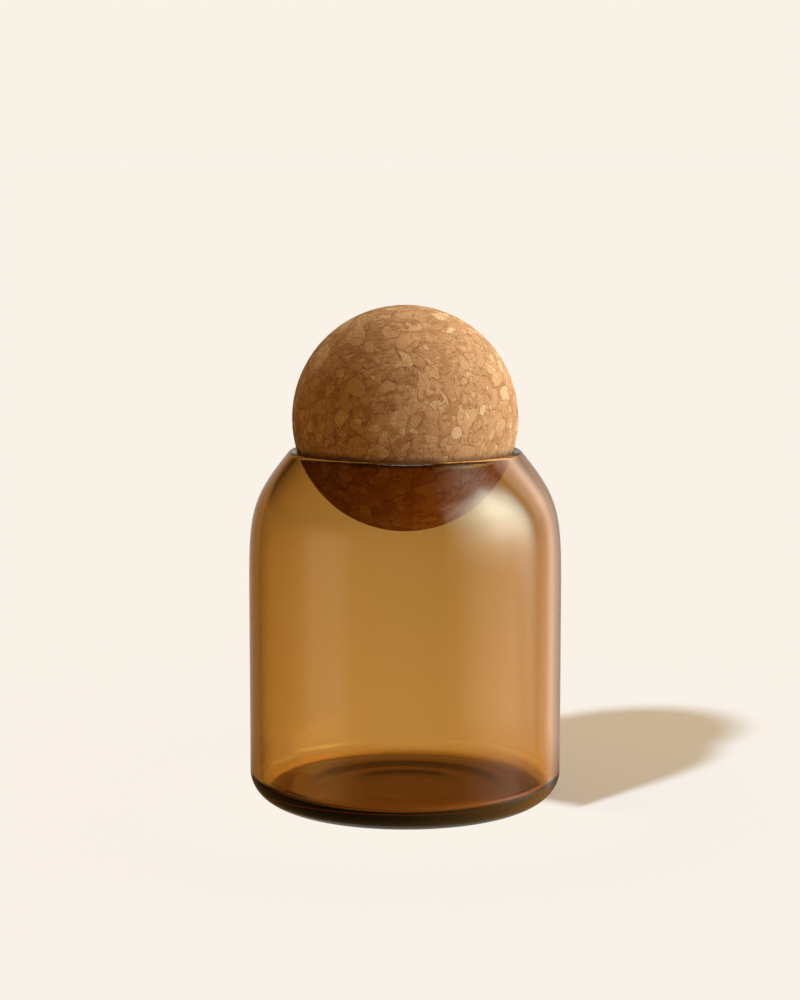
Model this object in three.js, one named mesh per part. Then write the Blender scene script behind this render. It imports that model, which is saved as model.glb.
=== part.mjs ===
// A round glass storage jar with a ball of pressed cork resting in its mouth as the stopper.
// Millimetres, +Z up. The origin is the centre of the foot, on the surface the jar stands on.

import * as THREE from 'three';

// Glass jar, outside
const bodyRadius = 50;
const footRadius = 37;
const heelHeight = 10.8;
const shoulderStart = 66;
const lipRadius = 36;
const lipHeight = 112.4;
const shoulderLean = THREE.MathUtils.degToRad(39);
const shoulderLowerPull = 28;
const shoulderUpperPull = 20;

// Glass jar, inside and underneath
const wallThickness = 3.2;
const floorRadius = 42;
const floorHeight = 6.8;
const floorFilletHeight = 4;
const hollowDepth = 0.7;
const hollowInnerPull = 17;
const ledgeRadius = 22;
const ledgeHeight = 0.4;
const hollowOuterPull = 29.5;
const hollowRadius = 34;

// Cork ball
const ballRadius = 36;
const seatGap = 0.3;

// Fineness of the surfaces of revolution
const jarSides = 64;
const ballSides = 48;
const ballRings = 32;
const heelSteps = 7;
const shoulderSteps = 14;
const lipSteps = 8;
const filletSteps = 7;
const hollowSteps = 6;

const quarterTurn = Math.PI / 2;

// The lip is a half round as wide as the wall is thick. Its centre is the end of the wall's middle line.
const lipRounding = wallThickness / 2;
const lipCentre = new THREE.Vector2(lipRadius, lipHeight);
const lipOutward = new THREE.Vector2(Math.cos(shoulderLean), Math.sin(shoulderLean));
const lipUpward = new THREE.Vector2(-Math.sin(shoulderLean), Math.cos(shoulderLean));

// Points of a profile curve moved sideways into the glass by the thickness of the wall.
function insetPoints(curve, steps, distance) {
  const points = [];
  for (let i = 0; i <= steps; i += 1) {
    const along = curve.getTangent(i / steps);
    const point = curve.getPoint(i / steps);
    points.push(new THREE.Vector2(point.x - along.y * distance, point.y + along.x * distance));
  }
  return points;
}

// Adds points to a profile, leaving out the first one, which the profile already ends on.
function continueProfile(profile, points) {
  profile.push(...points.slice(1));
}

function makeJarProfile() {
  // Under the base: a shallow hollow in two steps with a ledge between them, then the flat ring
  // the jar stands on.
  const innerHollow = new THREE.CubicBezierCurve(
    new THREE.Vector2(0, hollowDepth),
    new THREE.Vector2(hollowInnerPull, hollowDepth),
    new THREE.Vector2(hollowInnerPull, ledgeHeight),
    new THREE.Vector2(ledgeRadius, ledgeHeight),
  );
  const outerHollow = new THREE.CubicBezierCurve(
    new THREE.Vector2(ledgeRadius, ledgeHeight),
    new THREE.Vector2(hollowOuterPull, ledgeHeight),
    new THREE.Vector2(hollowOuterPull, 0),
    new THREE.Vector2(hollowRadius, 0),
  );
  const heel = new THREE.EllipseCurve(
    footRadius,
    heelHeight,
    bodyRadius - footRadius,
    heelHeight,
    -quarterTurn,
    0,
  );
  const shoulderTop = lipCentre.clone().addScaledVector(lipOutward, lipRounding);
  const shoulder = new THREE.CubicBezierCurve(
    new THREE.Vector2(bodyRadius, shoulderStart),
    new THREE.Vector2(bodyRadius, shoulderStart + shoulderLowerPull),
    shoulderTop.clone().addScaledVector(lipUpward, -shoulderUpperPull),
    shoulderTop,
  );
  const lip = new THREE.EllipseCurve(
    lipRadius,
    lipHeight,
    lipRounding,
    lipRounding,
    shoulderLean,
    shoulderLean + Math.PI,
  );
  const innerRadius = bodyRadius - wallThickness;
  const fillet = new THREE.EllipseCurve(
    floorRadius,
    floorHeight + floorFilletHeight,
    innerRadius - floorRadius,
    floorFilletHeight,
    0,
    -quarterTurn,
    true,
  );

  const profile = innerHollow.getPoints(hollowSteps);
  continueProfile(profile, outerHollow.getPoints(hollowSteps));
  profile.push(...heel.getPoints(heelSteps));
  profile.push(...shoulder.getPoints(shoulderSteps));
  continueProfile(profile, lip.getPoints(lipSteps));
  continueProfile(profile, insetPoints(shoulder, shoulderSteps, wallThickness).reverse());
  profile.push(...fillet.getPoints(filletSteps));
  profile.push(new THREE.Vector2(0, floorHeight));
  return profile;
}

function makeJar() {
  const geometry = new THREE.LatheGeometry(makeJarProfile(), jarSides);
  geometry.rotateX(quarterTurn);
  const material = new THREE.MeshStandardMaterial({
    color: 0xa8702a,
    roughness: 0.03,
    metalness: 0,
    transparent: true,
    opacity: 0.55,
  });
  const mesh = new THREE.Mesh(geometry, material);
  mesh.name = 'glass_jar';
  return mesh;
}

// The ball sits down in the mouth until it comes to the half round of the lip.
function makeBall() {
  const reach = ballRadius + seatGap + lipRounding;
  const centreHeight = lipHeight + Math.sqrt(reach * reach - lipRadius * lipRadius);
  const geometry = new THREE.SphereGeometry(ballRadius, ballSides, ballRings);
  geometry.rotateX(quarterTurn);
  const material = new THREE.MeshStandardMaterial({
    color: 0xb07c48,
    roughness: 0.85,
    metalness: 0,
  });
  const mesh = new THREE.Mesh(geometry, material);
  mesh.name = 'cork_ball_stopper';
  mesh.position.set(0, 0, centreHeight);
  return mesh;
}

const jarWithStopper = new THREE.Group();
jarWithStopper.add(makeJar());
jarWithStopper.add(makeBall());

export default jarWithStopper;
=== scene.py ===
import math

import bmesh
import bpy
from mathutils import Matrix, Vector, noise


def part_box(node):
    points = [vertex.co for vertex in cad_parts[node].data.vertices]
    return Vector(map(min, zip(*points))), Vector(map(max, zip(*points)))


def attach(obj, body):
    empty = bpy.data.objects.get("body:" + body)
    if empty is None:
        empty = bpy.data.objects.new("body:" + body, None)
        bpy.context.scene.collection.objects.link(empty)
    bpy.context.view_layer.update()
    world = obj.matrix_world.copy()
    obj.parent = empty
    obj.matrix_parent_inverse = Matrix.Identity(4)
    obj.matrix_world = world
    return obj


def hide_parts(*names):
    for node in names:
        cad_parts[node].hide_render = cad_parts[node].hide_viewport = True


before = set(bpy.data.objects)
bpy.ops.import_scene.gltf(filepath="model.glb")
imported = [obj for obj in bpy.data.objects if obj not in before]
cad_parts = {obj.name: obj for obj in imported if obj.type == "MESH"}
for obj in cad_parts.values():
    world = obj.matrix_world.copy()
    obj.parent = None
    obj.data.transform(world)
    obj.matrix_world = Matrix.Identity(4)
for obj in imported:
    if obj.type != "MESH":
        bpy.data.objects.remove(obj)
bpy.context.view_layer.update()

mm = 0.001
fullTurn = 2 * math.pi
quarterTurn = math.pi / 2
onAxis = 1e-7  # a profile point nearer to the axis than this becomes a single vertex


def linear(value):
    value = value / 255
    if value <= 0.04045:
        return value / 12.92
    return ((value + 0.055) / 1.055) ** 2.4


def srgb(red, green, blue):
    return (linear(red), linear(green), linear(blue), 1.0)


def grey(value):
    return (value, value, value, 1.0)


# Links a socket or sets a value
def wire(tree, value, socket):
    if isinstance(value, bpy.types.NodeSocket):
        tree.links.new(value, socket)
    elif socket.type == "RGBA" and isinstance(value, float):
        socket.default_value = grey(value)
    else:
        socket.default_value = value


def addNode(tree, kind, inputs=None, **settings):
    node = tree.nodes.new(kind)
    for name, value in settings.items():
        setattr(node, name, value)
    for name, value in (inputs or {}).items():
        wire(tree, value, node.inputs[name])
    return node


def calc(tree, operation, first, second=0.0):
    return addNode(tree, "ShaderNodeMath", {0: first, 1: second}, operation=operation).outputs[0]


# The lesser of two values, with the corner between them rounded
def smoothMin(tree, first, second, rounding):
    inputs = {0: first, 1: second, 2: rounding}
    return addNode(tree, "ShaderNodeMath", inputs, operation="SMOOTH_MIN").outputs[0]


def vectorCalc(tree, operation, first, second=(0, 0, 0)):
    node = addNode(tree, "ShaderNodeVectorMath", {0: first, 1: second}, operation=operation)
    return node.outputs["Value"] if operation in ("LENGTH", "DOT_PRODUCT") else node.outputs[0]


def mixColour(tree, factor, first, second, blend="MIX"):
    node = addNode(tree, "ShaderNodeMix", data_type="RGBA", blend_type=blend)
    wire(tree, factor, node.inputs[0])
    wire(tree, first, node.inputs[6])
    wire(tree, second, node.inputs[7])
    return node.outputs[2]


def times(tree, colour, strength):
    return mixColour(tree, 1.0, colour, strength, "MULTIPLY")


def ramp(tree, factor, stops):
    node = addNode(tree, "ShaderNodeValToRGB", {0: factor})
    elements = node.color_ramp.elements
    node.color_ramp.interpolation = "LINEAR"
    while len(elements) < len(stops):
        elements.new(0.5)
    for element, (position, colour) in zip(elements, stops):
        element.position = position
        element.color = colour
    return node.outputs[0]


# A smooth step from newLow to newHigh as the value goes from low to high
def remap(tree, value, low, high, newLow=0.0, newHigh=1.0):
    inputs = {0: value, 1: low, 2: high, 3: newLow, 4: newHigh}
    node = addNode(tree, "ShaderNodeMapRange", inputs, interpolation_type="SMOOTHSTEP")
    return node.outputs[0]


# The same between two angles in degrees
def remapAngle(tree, angle, low, high, newLow=0.0, newHigh=1.0):
    return remap(tree, angle, math.radians(low), math.radians(high), newLow, newHigh)


def noiseTexture(tree, place, settings):
    return addNode(tree, "ShaderNodeTexNoise", {"Vector": place, **settings})


def newGroup(name, inputs, outputs):
    group = bpy.data.node_groups.new(name, "ShaderNodeTree")
    for socketName, kind, default in inputs:
        socket = group.interface.new_socket(socketName, in_out="INPUT", socket_type=kind)
        socket.default_value = default
    for socketName, kind in outputs:
        group.interface.new_socket(socketName, in_out="OUTPUT", socket_type=kind)
    start = group.nodes.new("NodeGroupInput")
    end = group.nodes.new("NodeGroupOutput")
    return group, start.outputs, end.inputs


def useGroup(tree, group, inputs):
    node = tree.nodes.new("ShaderNodeGroup")
    node.node_tree = group
    for name, value in inputs.items():
        wire(tree, value, node.inputs[name])
    return node.outputs


def newMaterial(name):
    material = bpy.data.materials.new(name)
    material.use_nodes = True
    tree = material.node_tree
    tree.nodes.clear()
    output = tree.nodes.new("ShaderNodeOutputMaterial")
    return material, tree, output


def objectMillimetres(tree):
    coordinates = tree.nodes.new("ShaderNodeTexCoord")
    return vectorCalc(tree, "MULTIPLY", coordinates.outputs["Object"], (1000.0, 1000.0, 1000.0))


def emission(tree, colour):
    return addNode(tree, "ShaderNodeEmission", {"Color": colour}).outputs[0]


def mixShader(tree, factor, first, second):
    return addNode(tree, "ShaderNodeMixShader", {0: factor, 1: first, 2: second}).outputs[0]


def finishMesh(name, mesh, material):
    mesh.validate()
    for polygon in mesh.polygons:
        polygon.use_smooth = True
    mesh.materials.append(material)
    piece = bpy.data.objects.new(name, mesh)
    bpy.context.scene.collection.objects.link(piece)
    return piece


# Turns a profile of (radius, height) points, from the axis round to the axis, about the upright axis
def spinProfile(name, profile, sides, material):
    form = bmesh.new()
    rings = []
    for radius, height in profile:
        if radius < onAxis:
            rings.append([form.verts.new((0, 0, height))])
            continue
        ring = []
        for side in range(sides):
            angle = fullTurn * side / sides
            ring.append(form.verts.new((radius * math.cos(angle), radius * math.sin(angle), height)))
        rings.append(ring)
    for low, high in zip(rings, rings[1:]):
        for side in range(sides):
            after = (side + 1) % sides
            if len(low) == 1:
                form.faces.new((low[0], high[after], high[side]))
            elif len(high) == 1:
                form.faces.new((low[side], low[after], high[0]))
            else:
                form.faces.new((low[side], low[after], high[after], high[side]))
    bmesh.ops.recalc_face_normals(form, faces=form.faces)
    mesh = bpy.data.meshes.new(name)
    form.to_mesh(mesh)
    form.free()
    return finishMesh(name, mesh, material)


def ellipseArc(centre, radii, startAngle, endAngle, steps):
    points = []
    for step in range(steps + 1):
        angle = startAngle + (endAngle - startAngle) * step / steps
        points.append((centre[0] + radii[0] * math.cos(angle), centre[1] + radii[1] * math.sin(angle)))
    return points


# A cubic curve, moved sideways by inset to the left of its direction
def cubicArc(corners, steps, inset=0.0):
    first, second, third, last = [Vector(corner) for corner in corners]
    points = []
    for step in range(steps + 1):
        t = step / steps
        u = 1 - t
        place = first * u**3 + second * 3 * u * u * t + third * 3 * u * t * t + last * t**3
        along = (second - first) * u * u + (third - second) * 2 * u * t + (last - third) * t * t
        along.normalize()
        points.append((place.x - along.y * inset, place.y + along.x * inset))
    return points


jarLow, jarHigh = [Vector(corner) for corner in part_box("glass_jar")]
ballLow, ballHigh = [Vector(corner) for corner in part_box("cork_ball_stopper")]

jar = {
    "bodyRadius": (jarHigh.x - jarLow.x) / 2,
    "rimHeight": jarHigh.z,
    "wall": 3.2 * mm,
    "footRadius": 37 * mm,
    "heelHeight": 10.8 * mm,
    "shoulderStart": 66 * mm,
    "shoulderPulls": (28 * mm, 20 * mm),  # how far the curve keeps its direction at either end
    "shoulderLean": math.radians(39),
    "lipRadius": 36 * mm,
    "floorRadius": 42 * mm,
    "floorHeight": 6.8 * mm,
    "filletHeight": 4 * mm,
    "hollowRadius": 34 * mm,  # the hollow under the base has two steps
    "hollowPulls": (17 * mm, 29.5 * mm),
    "ledgeRadius": 22 * mm,
    "ledgeHeight": 0.4 * mm,
    "hollowDepth": 0.7 * mm,
    "sides": 192,
    "hollowSteps": 20,
    "filletSteps": 28,
    "shoulderSteps": 56,
    "lipSteps": 24,
    "floorRings": 4,
}


# From the middle of the underside up the outside, over the lip and down the inside to the floor
def jarProfile():
    body = jar["bodyRadius"]
    wall = jar["wall"]
    inner = body - wall
    lean = jar["shoulderLean"]
    rounding = wall / 2
    lipCentre = Vector((jar["lipRadius"], jar["rimHeight"] - rounding))
    shoulderTop = lipCentre + Vector((math.cos(lean), math.sin(lean))) * rounding
    lowerPull, upperPull = jar["shoulderPulls"]
    shoulder = (
        (body, jar["shoulderStart"]),
        (body, jar["shoulderStart"] + lowerPull),
        shoulderTop - Vector((-math.sin(lean), math.cos(lean))) * upperPull,
        shoulderTop,
    )
    depth = jar["hollowDepth"]
    ledge = (jar["ledgeRadius"], jar["ledgeHeight"])
    innerPull, outerPull = jar["hollowPulls"]
    innerHollow = ((0, depth), (innerPull, depth), (innerPull, ledge[1]), ledge)
    outerHollow = (ledge, (outerPull, ledge[1]), (outerPull, 0), (jar["hollowRadius"], 0))
    heelCentre = (jar["footRadius"], jar["heelHeight"])
    heelRadii = (body - jar["footRadius"], jar["heelHeight"])
    floor = jar["floorHeight"]
    filletCentre = (jar["floorRadius"], floor + jar["filletHeight"])
    filletRadii = (inner - jar["floorRadius"], jar["filletHeight"])
    rings = jar["floorRings"]
    points = cubicArc(innerHollow, jar["hollowSteps"])
    points += cubicArc(outerHollow, jar["hollowSteps"])[1:]
    points += ellipseArc(heelCentre, heelRadii, -quarterTurn, 0, jar["filletSteps"])
    points += cubicArc(shoulder, jar["shoulderSteps"])
    points += ellipseArc(lipCentre, (rounding, rounding), lean, lean + math.pi, jar["lipSteps"])[1:]
    points += cubicArc(shoulder, jar["shoulderSteps"], wall)[::-1][1:]
    points += ellipseArc(filletCentre, filletRadii, 0, -quarterTurn, jar["filletSteps"])
    points += [(jar["floorRadius"] * ring / rings, floor) for ring in reversed(range(rings))]
    return points


glass = {
    "surface": {"Base Color": grey(1.0), "Roughness": 0.0, "IOR": 1.5, "Transmission Weight": 1.0},
    "body": {"Color": (0.785, 0.545, 0.016, 1.0), "Density": 440.0},  # how light fades in the wall
}


def makeGlass():
    material, tree, output = newMaterial("amber_glass")
    surface = addNode(tree, "ShaderNodeBsdfPrincipled", glass["surface"])
    body = addNode(tree, "ShaderNodeVolumeAbsorption", glass["body"])
    tree.links.new(surface.outputs[0], output.inputs["Surface"])
    tree.links.new(body.outputs[0], output.inputs["Volume"])
    return material


glassPiece = spinProfile("blown_glass_jar", jarProfile(), jar["sides"], makeGlass())
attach(glassPiece, "jar")
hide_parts("glass_jar")
print("jar:", len(glassPiece.data.vertices), "vertices")


granule = {
    "size": 4.0,  # lengths are in millimetres
    "reach": 0.6,  # how far a granule spreads, as a share of its size
    "reachSpread": 0.5,  # added to a random share from 0 to 1, which then scales the reach
    "softness": 0.2,
    "rounding": 0.5,
    "rimOutside": 0.22,
    "rimInside": 0.2,
}


# Granules of one size: Mask is 1 inside the picked ones, Tone is a random value for each granule
# and Rim is a thin line round each picked one
def makeGranules():
    group, start, end = newGroup(
        "granules",
        [
            ("Position", "NodeSocketVector", (0, 0, 0)),
            ("Turn", "NodeSocketVector", (0, 0, 0)),
            ("Stretch", "NodeSocketVector", (1, 1, 1)),
            ("Size", "NodeSocketFloat", granule["size"]),
            ("Coverage", "NodeSocketFloat", 1.0),
            ("Gap", "NodeSocketFloat", 0.0),
            ("Reach", "NodeSocketFloat", granule["reach"]),
            ("Softness", "NodeSocketFloat", granule["softness"]),
        ],
        [("Mask", "NodeSocketFloat"), ("Tone", "NodeSocketFloat"), ("Rim", "NodeSocketFloat")],
    )
    rotated = addNode(
        group,
        "ShaderNodeVectorRotate",
        {"Vector": start["Position"], "Rotation": start["Turn"]},
        rotation_type="EULER_XYZ",
    ).outputs[0]
    stretched = vectorCalc(group, "MULTIPLY", rotated, start["Stretch"])
    shrink = calc(group, "DIVIDE", 1.0, start["Size"])
    sized = addNode(
        group, "ShaderNodeVectorMath", {0: stretched, "Scale": shrink}, operation="SCALE"
    ).outputs[0]
    cells = {"Vector": sized, "Scale": 1.0}
    cell = addNode(group, "ShaderNodeTexVoronoi", cells)
    border = addNode(group, "ShaderNodeTexVoronoi", cells, feature="DISTANCE_TO_EDGE")
    chance = addNode(group, "ShaderNodeSeparateColor", {"Color": cell.outputs["Color"]}).outputs
    picked = calc(group, "LESS_THAN", chance[0], start["Coverage"])
    inside = calc(group, "MULTIPLY", border.outputs["Distance"], start["Size"])
    toEdge = calc(group, "SUBTRACT", inside, start["Gap"])
    spread = calc(group, "ADD", chance[2], granule["reachSpread"])
    reach = calc(group, "MULTIPLY", start["Reach"], spread)
    short = calc(group, "SUBTRACT", reach, cell.outputs["Distance"])
    toRound = calc(group, "MULTIPLY", short, start["Size"])
    depth = smoothMin(group, toEdge, toRound, granule["rounding"])
    within = remap(group, depth, 0.0, start["Softness"])
    outline = calc(
        group,
        "SUBTRACT",
        remap(group, depth, -granule["rimOutside"], 0.0),
        remap(group, depth, 0.0, granule["rimInside"]),
    )
    group.links.new(calc(group, "MULTIPLY", picked, within), end["Mask"])
    group.links.new(chance[1], end["Tone"])
    group.links.new(calc(group, "MULTIPLY", picked, outline), end["Rim"])
    return group


# Granule sizes are in millimetres and noise scales are per millimetre. Pairs and fours of numbers
# are what remap takes after the value.
cork = {
    "russet": srgb(140, 90, 50),
    "brown": srgb(163, 113, 67),
    "tan": srgb(176, 129, 81),
    "ochre": srgb(184, 139, 87),
    "pale": srgb(198, 156, 107),
    "crevice": srgb(92, 55, 27),
    "bend": {"Scale": 0.4, "Detail": 2.0},
    "bendReach": (1.6, 1.6, 1.6),
    "patches": {"Scale": 0.22, "Detail": 5.0},
    "patchShare": (0.4, 0.62, 0.0, 0.6),
    "fibre": {"Scale": 0.8, "Detail": 6.0},
    "fibreStretch": (0.5, 1.6, 1.0),
    "fibreStops": ((0.3, "russet"), (0.46, "brown"), (0.56, "tan"), (0.7, "ochre")),
    "streak": {"Scale": 1.1, "Detail": 5.0},
    "streakStretch": (1.5, 0.4, 1.2),
    "streakTone": (0.3, 0.7, -0.2, 0.2),
    "layers": (
        {"Size": 7.5, "Turn": (0.3, 1.1, 0.0), "Stretch": (1.0, 0.62, 1.15), "Coverage": 0.4, "Gap": 0.25},
        {"Size": 5.5, "Turn": (1.9, 0.2, 0.7), "Stretch": (0.7, 1.25, 1.0), "Coverage": 0.4, "Gap": 0.2},
        {"Size": 4.0, "Turn": (0.8, 2.3, 1.6), "Stretch": (1.3, 0.6, 1.0), "Coverage": 0.34, "Gap": 0.15},
        {"Size": 2.6, "Turn": (2.6, 0.9, 2.2), "Stretch": (1.0, 1.4, 0.55), "Coverage": 0.2, "Gap": 0.1},
    ),
    "layerShift": (31.0, 17.0, 11.0),
    "layerStops": ((0.0, "brown"), (0.5, "tan"), (0.85, "ochre"), (1.0, "pale")),
    "layerShare": 0.85,
    "rimBreaks": (0.4, 0.58),
    "rimShare": 0.55,
    "grain": {"Scale": 2.4, "Detail": 8.0},
    "grainShade": (0.3, 0.7, 0.84, 1.12),
    "roughness": (0.3, 0.7, 0.7, 0.9),
    "gloss": 0.25,
    "relief": 0.12 * mm,
    "reliefStrength": 0.8,
    "grainRelief": 0.8,
    "rimRelief": 0.9,
    # painted shade where the mouth of the jar meets the ball: its colour, the heights where it comes in
    # and goes out, and its share
    "seatShade": (0.035, 0.012, 0.004, 1.0),
    "seatShadeBelow": (jarHigh.z - 3.1 * mm, jarHigh.z - 2.1 * mm),
    "seatShadeAbove": (jarHigh.z - 0.5 * mm, jarHigh.z + 2.5 * mm, 1.0, 0.0),
    "seatShadeShare": 0.66,
}


def corkRamp(tree, factor, stops):
    return ramp(tree, factor, [(position, cork[tone]) for position, tone in stops])


def makeCork():
    material, tree, output = newMaterial("pressed_cork")
    granules = makeGranules()
    place = objectMillimetres(tree)
    push = noiseTexture(tree, place, cork["bend"]).outputs["Color"]
    offset = vectorCalc(tree, "SUBTRACT", push, (0.5, 0.5, 0.5))
    bent = vectorCalc(tree, "ADD", place, vectorCalc(tree, "MULTIPLY", offset, cork["bendReach"]))
    patches = noiseTexture(tree, place, cork["patches"]).outputs[0]
    alongFibre = vectorCalc(tree, "MULTIPLY", bent, cork["fibreStretch"])
    fibre = noiseTexture(tree, alongFibre, cork["fibre"]).outputs[0]
    alongStreak = vectorCalc(tree, "MULTIPLY", bent, cork["streakStretch"])
    streak = noiseTexture(tree, alongStreak, cork["streak"]).outputs[0]
    colour = corkRamp(tree, fibre, cork["fibreStops"])
    colour = mixColour(tree, remap(tree, patches, *cork["patchShare"]), colour, cork["russet"])
    outlines = None
    for turn, layer in enumerate(cork["layers"]):
        shift = tuple(turn * step for step in cork["layerShift"])
        shifted = vectorCalc(tree, "ADD", bent, shift)
        chips = useGroup(tree, granules, {"Position": shifted, **layer})
        varied = calc(tree, "ADD", chips["Tone"], remap(tree, streak, *cork["streakTone"]))
        tone = corkRamp(tree, varied, cork["layerStops"])
        cover = calc(tree, "MULTIPLY", chips["Mask"], cork["layerShare"])
        colour = mixColour(tree, cover, colour, tone)
        rim = calc(tree, "MULTIPLY", chips["Rim"], remap(tree, streak, *cork["rimBreaks"]))
        if outlines is None:
            outlines = rim
        else:
            uncovered = calc(tree, "SUBTRACT", 1.0, chips["Mask"])
            outlines = calc(tree, "MAXIMUM", calc(tree, "MULTIPLY", outlines, uncovered), rim)
    grain = noiseTexture(tree, place, cork["grain"]).outputs[0]
    colour = times(tree, colour, remap(tree, grain, *cork["grainShade"]))
    colour = mixColour(tree, calc(tree, "MULTIPLY", outlines, cork["rimShare"]), colour, cork["crevice"])
    # Painted shade: the cork's colour is darkened in a band at the height of the jar's mouth, where the
    # mouth meets the ball and shade falls
    spot = tree.nodes.new("ShaderNodeNewGeometry").outputs["Position"]
    level = addNode(tree, "ShaderNodeSeparateXYZ", {0: spot}).outputs[2]
    below = remap(tree, level, *cork["seatShadeBelow"])
    above = remap(tree, level, *cork["seatShadeAbove"])
    shaded = calc(tree, "MULTIPLY", calc(tree, "MULTIPLY", below, above), cork["seatShadeShare"])
    colour = mixColour(tree, shaded, colour, cork["seatShade"])
    relief = calc(tree, "ADD", calc(tree, "MULTIPLY", grain, cork["grainRelief"]), streak)
    height = calc(tree, "SUBTRACT", relief, calc(tree, "MULTIPLY", outlines, cork["rimRelief"]))
    bump = addNode(
        tree,
        "ShaderNodeBump",
        {"Height": height, "Strength": cork["reliefStrength"], "Distance": cork["relief"]},
    )
    shader = addNode(
        tree,
        "ShaderNodeBsdfPrincipled",
        {
            "Base Color": colour,
            "Roughness": remap(tree, grain, *cork["roughness"]),
            "Specular IOR Level": cork["gloss"],
            "Normal": bump.outputs[0],
        },
    )
    tree.links.new(shader.outputs[0], output.inputs["Surface"])
    return material


ball = {
    "centre": (ballLow + ballHigh) / 2,
    "radius": (ballHigh.z - ballLow.z) / 2,
    "subdivisions": 7,
    "granuleSize": 4.5,  # this and the next three are in millimetres
    "grooveDepth": 0.10,
    "waveSize": 6,
    "waveDepth": 0.06,
    "grooveWidth": 0.12,  # as a share of the granule size
}


# A ball ground to size: shallow waves, and fine grooves between the granules
def makeBall():
    form = bmesh.new()
    bmesh.ops.create_icosphere(form, subdivisions=ball["subdivisions"], radius=ball["radius"])
    for vertex in form.verts:
        outward = vertex.co.normalized()
        spot = vertex.co / mm
        nearest, second = noise.voronoi(spot / ball["granuleSize"])[0][:2]
        groove = max(0.0, 1 - (second - nearest) / ball["grooveWidth"])
        wave = noise.noise(spot / ball["waveSize"]) * 0.5 + 0.5
        depth = (ball["waveDepth"] * wave + ball["grooveDepth"] * groove) * mm
        vertex.co -= outward * depth
    bmesh.ops.translate(form, verts=form.verts, vec=ball["centre"])
    mesh = bpy.data.meshes.new("ground_cork_ball")
    form.to_mesh(mesh)
    form.free()
    return finishMesh("ground_cork_ball", mesh, makeCork())


ballPiece = makeBall()
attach(ballPiece, "stopper")
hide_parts("cork_ball_stopper")
print("ball:", len(ballPiece.data.vertices), "vertices")


# Angles are in degrees. A bearing of 0 is the front, 90 the right and 180 the back, and an elevation
# is over the horizon. Bands pair an angle with a strength, and steps are what remapAngle takes.
room = {
    "pale": srgb(250, 242, 231),
    "fill": (0.46, 0.3, 0.113, 1.0),  # falls on matt things
    "umber": (0.6, 0.4, 0.2, 1.0),  # tints the dim parts of a reflection
    "umberRange": (0.1, 0.8),
    "deep": (0.35, 0.2, 0.1, 1.0),  # least light from above deep inside the jar
    "faint": 0.25,  # share of the mirrored light that comes from below there
    "inside": 0.6,  # light that reaches a matt thing through the glass, and the same from the right
    "insideRight": 4.6,
    "upwardStep": (-1, 3),
    "mirrorBands": (
        (-180, 0.6), (-170, 0.6), (-156, 0.42), (-144, 0.26), (-132, 0.1), (-110, 0.0), (-88, 0.1),
        (-72, 0.66), (-50, 0.7), (-38, 0.25), (-26, 0.05), (24, 0.05), (39, 0.35), (55, 1.05),
        (69, 1.5), (84, 1.9), (101, 1.15), (112, 0.6), (128, 1.2), (137, 2.1), (146, 1.15),
        (159, 0.6), (170, 0.6), (180, 0.6),
    ),
    "mirrorTop": (8, 22, 1.0, 0.0),
    "mirrorFoot": (-14.2, -12.6, 0.45, 1.0),
    "tallFrom": (108, 122),  # between these bearings the mirrored band reaches higher
    "tallTo": (138, 164, 1.0, 0.0),
    "tallRise": (0, 14, 1.0, 1.45),
    "tallTop": (35, 60, 1.0, 0.0),
    "edgeBands": (
        (-180, 1.1), (-165, 0.85), (-150, 0.75), (-120, 0.65), (-90, 0.1), (90, 0.1), (120, 1.2),
        (146, 1.3), (158, 1.0), (170, 1.0), (180, 1.1),
    ),
    "edgeTop": (4, 14, 1.0, 0.0),
    "edgeFoot": (-30, -18, 0.06, 1.0),
    "earth": (1.0, 0.5, 0.15, 1.0),  # the ground close by, which turns pale to the right
    "earthRange": (0.72, 0.97),
    "groundBands": (
        (0.0, grey(0.1)), (0.3, grey(0.12)), (0.5, grey(0.3)), (0.68, grey(0.6)), (0.82, grey(1.1)),
        (0.95, grey(1.8)),
    ),
    "groundStep": (-25, -15, 1.0, 0.0),
    "window": (9.6, 12.3, 11.8, 1.0),
    "windowAcross": (
        (30, 0.0), (37, 0.1), (46, 0.22), (52, 0.34), (59, 0.48), (66, 0.68), (73, 0.9), (80, 1.0),
        (87, 0.98), (95, 0.78), (101, 0.6), (107, 0.36), (112, 0.08), (115, 0.0),
    ),
    "windowUp": (
        (-6, 0.0), (2, 0.18), (5, 0.28), (10, 0.48), (15, 0.65), (20, 0.8), (28, 1.0), (37, 0.9),
        (41, 0.75), (44, 0.55), (47, 0.25), (49, 0.12), (56, 0.1), (62, 0.05), (68, 0.0),
    ),
    "windowSlantFrom": 85,  # past this bearing the window gets lower
    "windowSlant": 0.45,
    "ceiling": 4.0,
    "ceilingStep": (74, 79),
    "rightBands": ((20, 0.0), (60, 0.7), (90, 1.0), (120, 0.7), (150, 0.0)),
    "rightTop": (60, 35),
    "throughBands": (
        (-180, 0.96), (-176, 1.0), (-170, 1.02), (-166, 1.08), (-160, 1.08), (-140, 0.9), (-110, 0.8),
        (40, 1.2), (110, 1.8), (135, 2.2), (150, 2.4), (155, 2.2), (163, 1.6), (169, 1.32),
        (172.5, 1.2), (175.5, 1.1), (178, 0.93), (180, 0.96),
    ),
    "throughUp": (
        (-14, 1.1), (-11.8, 1.07), (-10.5, 1.0), (-8.8, 0.91), (-7, 0.74), (0, 0.7), (12, 0.6), (24, 0.08),
    ),
    "throughLow": (
        (-180, 1.0), (-172, 0.95), (-166, 0.65), (-130, 0.6), (130, 1.1), (165, 1.22), (174, 1.12),
        (180, 1.0),
    ),
    "throughLowStep": (-12.3, -13.4),
}


def byBearing(tree, turned, bands):
    return ramp(tree, turned, [(bearing / 360 + 0.5, grey(value)) for bearing, value in bands])


def byElevation(tree, climb, bands):
    return ramp(tree, climb, [(elevation / 180 + 0.5, grey(value)) for elevation, value in bands])


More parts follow.
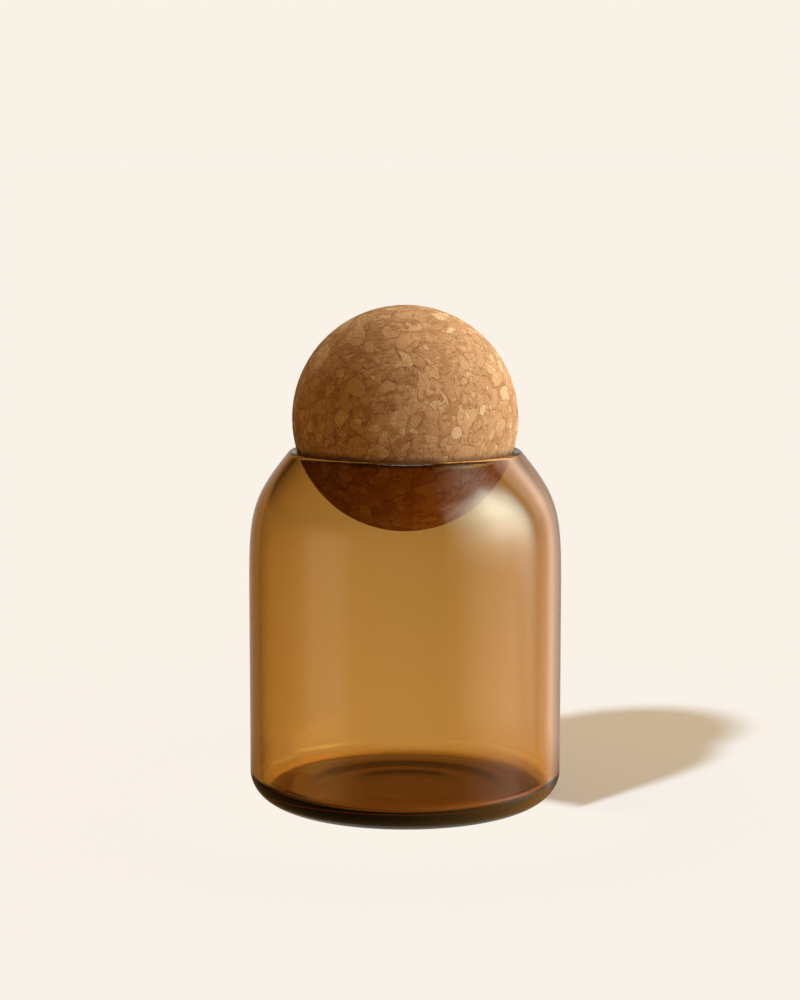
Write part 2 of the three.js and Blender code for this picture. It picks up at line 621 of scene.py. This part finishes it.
# What the glass meets in each direction: mirrored by its surface, seen through it, or turned back
# at its edges, with masks for what lies above the horizon and to the right
def makePanorama():
    group, start, end = newGroup(
        "panorama",
        [("Direction", "NodeSocketVector", (0, 0, 1))],
        [
            ("Mirrored", "NodeSocketColor"),
            ("Seen Through", "NodeSocketFloat"),
            ("Edges", "NodeSocketFloat"),
            ("Upward", "NodeSocketFloat"),
            ("Rightward", "NodeSocketFloat"),
        ],
    )
    unit = vectorCalc(group, "NORMALIZE", start["Direction"])
    right, back, up = addNode(group, "ShaderNodeSeparateXYZ", {0: unit}).outputs
    bearing = calc(group, "ARCTAN2", right, calc(group, "MULTIPLY", back, -1.0))
    turned = calc(group, "ADD", calc(group, "DIVIDE", bearing, fullTurn), 0.5)
    elevation = calc(group, "ARCSINE", up)
    climb = calc(group, "DIVIDE", calc(group, "ADD", elevation, quarterTurn), math.pi)

    # Light bands mirrored from around, with one taller band to the right of the back
    tallFrom = remapAngle(group, bearing, *room["tallFrom"])
    tall = calc(group, "MULTIPLY", tallFrom, remapAngle(group, bearing, *room["tallTo"]))
    tallRise = remapAngle(group, elevation, *room["tallRise"])
    tallReach = calc(group, "MULTIPLY", tallRise, remapAngle(group, elevation, *room["tallTop"]))
    tallBand = calc(group, "MULTIPLY", tall, tallReach)
    reach = calc(group, "MAXIMUM", remapAngle(group, elevation, *room["mirrorTop"]), tallBand)
    faded = calc(group, "MULTIPLY", reach, remapAngle(group, elevation, *room["mirrorFoot"]))
    bands = calc(group, "MULTIPLY", byBearing(group, turned, room["mirrorBands"]), faded)
    tint = mixColour(group, remap(group, bands, *room["umberRange"]), room["umber"], room["pale"])
    mirrored = times(group, tint, bands)

    # The ground close by
    fromLeft = calc(group, "ADD", calc(group, "MULTIPLY", right, 0.5), 0.5)
    earth = mixColour(group, remap(group, right, *room["earthRange"]), room["earth"], room["pale"])
    ground = times(group, earth, ramp(group, fromLeft, room["groundBands"]))
    groundMask = remapAngle(group, elevation, *room["groundStep"])
    mirrored = mixColour(group, groundMask, mirrored, ground)

    # A tall window to the right and a pale ceiling
    past = calc(group, "SUBTRACT", bearing, math.radians(room["windowSlantFrom"]))
    slant = calc(group, "MULTIPLY", calc(group, "MAXIMUM", past, 0.0), room["windowSlant"] / math.pi)
    windowUp = byElevation(group, calc(group, "ADD", climb, slant), room["windowUp"])
    window = calc(group, "MULTIPLY", byBearing(group, turned, room["windowAcross"]), windowUp)
    mirrored = mixColour(group, 1.0, mirrored, times(group, room["window"], window), "ADD")
    ceilingMask = remapAngle(group, elevation, *room["ceilingStep"])
    ceiling = calc(group, "MULTIPLY", ceilingMask, room["ceiling"])
    mirrored = mixColour(group, 1.0, mirrored, ceiling, "ADD")

    # The far side of the room, seen through both walls of the jar
    lowered = remapAngle(group, elevation, *room["throughLowStep"])
    lowBands = byBearing(group, turned, room["throughLow"])
    throughUp = byElevation(group, climb, room["throughUp"])
    distant = calc(group, "MULTIPLY", throughUp, mixColour(group, lowered, 1.0, lowBands))
    through = calc(group, "MULTIPLY", byBearing(group, turned, room["throughBands"]), distant)

    edgeTop = remapAngle(group, elevation, *room["edgeTop"])
    edgeReach = calc(group, "MINIMUM", edgeTop, remapAngle(group, elevation, *room["edgeFoot"]))
    edges = calc(group, "MULTIPLY", byBearing(group, turned, room["edgeBands"]), edgeReach)
    rightTop = remapAngle(group, elevation, *room["rightTop"])
    rightward = calc(group, "MULTIPLY", byBearing(group, turned, room["rightBands"]), rightTop)
    upward = remapAngle(group, elevation, *room["upwardStep"])
    group.links.new(mirrored, end["Mirrored"])
    group.links.new(through, end["Seen Through"])
    group.links.new(edges, end["Edges"])
    group.links.new(upward, end["Upward"])
    group.links.new(rightward, end["Rightward"])
    return group


# The room for each kind of ray: seen directly, lighting matt things, seen through glass, mirrored
# by the outer surface, turned back once inside the wall, or turned back deep inside the jar
def surroundings(tree, direction):
    path = tree.nodes.new("ShaderNodeLightPath").outputs
    around = useGroup(tree, makePanorama(), {"Direction": direction})
    mirrored = around["Mirrored"]

    # 1 for a ray with more bounces of a kind behind it than count
    def beyond(depth, count):
        return calc(tree, "GREATER_THAN", path[depth], count + 0.5)

    seenThrough = times(tree, room["pale"], around["Seen Through"])
    colour = mixColour(tree, path["Is Transmission Ray"], room["fill"], seenThrough)
    edges = times(tree, room["pale"], around["Edges"])
    inner = mixColour(tree, 1.0, mirrored, edges, "LIGHTEN")
    seenUp = mixColour(tree, 1.0, mirrored, room["deep"], "LIGHTEN")
    deep = mixColour(tree, around["Upward"], times(tree, mirrored, room["faint"]), seenUp)
    turnedBack = mixColour(tree, beyond("Transmission Depth", 0), mirrored, inner)
    turnedBack = mixColour(tree, beyond("Transmission Depth", 2), turnedBack, deep)
    colour = mixColour(tree, beyond("Glossy Depth", 0), colour, turnedBack)
    strength = remap(tree, around["Rightward"], 0.0, 1.0, room["inside"], room["insideRight"])
    colour = mixColour(tree, beyond("Diffuse Depth", 0), colour, times(tree, room["pale"], strength))
    colour = mixColour(tree, path["Is Diffuse Ray"], colour, room["fill"])
    return mixColour(tree, path["Is Camera Ray"], colour, room["pale"])


def makeWorld():
    world = bpy.data.worlds.new("pale_room")
    world.use_nodes = True
    tree = world.node_tree
    tree.nodes.clear()
    output = tree.nodes.new("ShaderNodeOutputWorld")
    coordinates = tree.nodes.new("ShaderNodeTexCoord")
    colour = surroundings(tree, coordinates.outputs["Generated"])
    background = addNode(tree, "ShaderNodeBackground", {"Color": colour, "Strength": 1.0})
    tree.links.new(background.outputs[0], output.inputs["Surface"])
    bpy.context.scene.world = world


makeWorld()
print("room ready")


sunlight = {
    "bearing": math.radians(51),
    "height": math.radians(44.5),
    "angle": math.radians(4.5),
    "share": 0.55,
}

floor = {
    "halfWidth": 40.0,
    "pale": room["pale"],
    "shadow": srgb(203, 181, 149),
    "under": (0.38, 0.34, 0.29, 1.0),  # the shaded patch under the jar, as the glass shows it
    "underRadius": 44 * mm,
    "bounce": (0.39, 0.245, 0.09, 1.0),
    "shadowFrom": (60 * mm, 110 * mm),  # the shadow only shows this far out, or behind the jar
    "shadowBehind": (22 * mm, 34 * mm),
}


# The floor shows the same pale tone as the room, and only the light of the sun leaves a shadow on it.
# Seen in or through the glass it gives way to the room, except for the shaded patch under the jar.
def makeFloor():
    material, tree, output = newMaterial("pale_floor")
    path = tree.nodes.new("ShaderNodeLightPath").outputs
    place = tree.nodes.new("ShaderNodeNewGeometry").outputs["Position"]
    fromJar = vectorCalc(tree, "LENGTH", place)
    tones = list(zip(floor["pale"][:3], floor["shadow"][:3], room["fill"][:3]))
    sunlit = [(pale - shadow) / sunlight["share"] for pale, shadow, fill in tones]
    rest = [shadow - tone * fill for tone, (pale, shadow, fill) in zip(sunlit, tones)]
    matt = addNode(tree, "ShaderNodeBsdfDiffuse", {"Color": (*sunlit, 1.0)}).outputs[0]
    glow = emission(tree, (*rest, 1.0))
    shaded = addNode(tree, "ShaderNodeAddShader", {0: matt, 1: glow}).outputs[0]
    awayFromSun = (math.cos(sunlight["bearing"]), math.sin(sunlight["bearing"]), 0.0)
    behind = remap(tree, vectorCalc(tree, "DOT_PRODUCT", place, awayFromSun), *floor["shadowBehind"])
    far = remap(tree, fromJar, *floor["shadowFrom"])
    showing = calc(tree, "MAXIMUM", far, behind)
    direct = mixShader(tree, showing, emission(tree, floor["pale"]), shaded)
    patch = calc(tree, "LESS_THAN", fromJar, floor["underRadius"])
    clear = addNode(tree, "ShaderNodeBsdfTransparent", {"Color": grey(1.0)}).outputs[0]
    other = mixShader(tree, patch, clear, emission(tree, floor["under"]))
    indirect = mixShader(tree, path["Is Diffuse Ray"], other, emission(tree, floor["bounce"]))
    mix = mixShader(tree, path["Is Camera Ray"], indirect, direct)
    tree.links.new(mix, output.inputs["Surface"])
    size = floor["halfWidth"]
    mesh = bpy.data.meshes.new("studio_floor")
    corners = [(-size, -size, 0), (size, -size, 0), (size, size, 0), (-size, size, 0)]
    mesh.from_pydata(corners, [], [(0, 1, 2, 3)])
    mesh.materials.append(material)
    piece = bpy.data.objects.new("studio_floor", mesh)
    bpy.context.scene.collection.objects.link(piece)
    return piece


floorPiece = makeFloor()
print("floor ready")


# A light for the pieces it is linked to, and for nothing else
def newLight(name, kind, settings, lit):
    light = bpy.data.lights.new(name, kind)
    for key, value in settings.items():
        setattr(light, key, value)
    lamp = bpy.data.objects.new(name, light)
    bpy.context.scene.collection.objects.link(lamp)
    receivers = bpy.data.collections.new(name + "_lights")
    for piece in lit:
        receivers.objects.link(piece)
    lamp.light_linking.receiver_collection = receivers
    lamp.visible_camera = False
    return lamp


def aim(lamp, place, target):
    lamp.location = place
    lamp.rotation_euler = (Vector(target) - Vector(place)).to_track_quat("-Z", "Y").to_euler()


# The sun lights only the floor
def makeSun():
    bearing, height = sunlight["bearing"], sunlight["height"]
    settings = {
        "energy": sunlight["share"] * math.pi / math.sin(height),
        "angle": sunlight["angle"],
    }
    level = -math.cos(height)
    place = (math.cos(bearing) * level, math.sin(bearing) * level, math.sin(height))
    aim(newLight("sun", "SUN", settings, [floorPiece]), place, (0, 0, 0))


keyBearing, keyHeight, keyDistance = math.radians(80), math.radians(24), 0.9
softboxes = {
    "key_softbox": {  # large, to the right
        "size": (0.7, 0.6),
        "power": 23.5,
        "colour": (0.6, 0.74, 1.0),
        "place": Vector((
            math.sin(keyBearing) * math.cos(keyHeight),
            -math.cos(keyBearing) * math.cos(keyHeight),
            math.sin(keyHeight),
        )) * keyDistance,
        "target": (0, 0, 80 * mm),
    },
    "top_softbox": {  # above and behind
        "size": (0.4, 0.4),
        "power": 8.0,
        "colour": (0.6, 0.74, 1.0),
        "place": (0.05, 0.4, 0.85),
        "target": (0, 0, 120 * mm),
    },
}


# The soft boxes light only the object, and the glass doesn't mirror them
def makeSoftbox(name, box):
    settings = {
        "shape": "RECTANGLE",
        "size": box["size"][0],
        "size_y": box["size"][1],
        "energy": box["power"],
        "color": box["colour"],
    }
    lamp = newLight(name, "AREA", settings, [glassPiece, ballPiece])
    lamp.visible_transmission = False
    lamp.visible_glossy = False
    aim(lamp, box["place"], box["target"])


makeSun()
for name, box in softboxes.items():
    makeSoftbox(name, box)
print("lights ready")


view = {
    "distance": 850 * mm,
    "height": 209.9 * mm,
    "side": -1.65 * mm,
    "down": math.radians(7.503),
    "lens": 96.58,
    "nearest": 0.01,
    "farthest": 200,
}
cameraData = bpy.data.cameras.new("camera")
cameraData.lens = view["lens"]
cameraData.clip_start = view["nearest"]
cameraData.clip_end = view["farthest"]
camera = bpy.data.objects.new("camera", cameraData)
bpy.context.scene.collection.objects.link(camera)
camera.location = (view["side"], -view["distance"], view["height"])
camera.rotation_euler = (quarterTurn - view["down"], 0, 0)
bpy.context.scene.camera = camera
bpy.context.scene.view_settings.view_transform = "Standard"
print("camera ready")
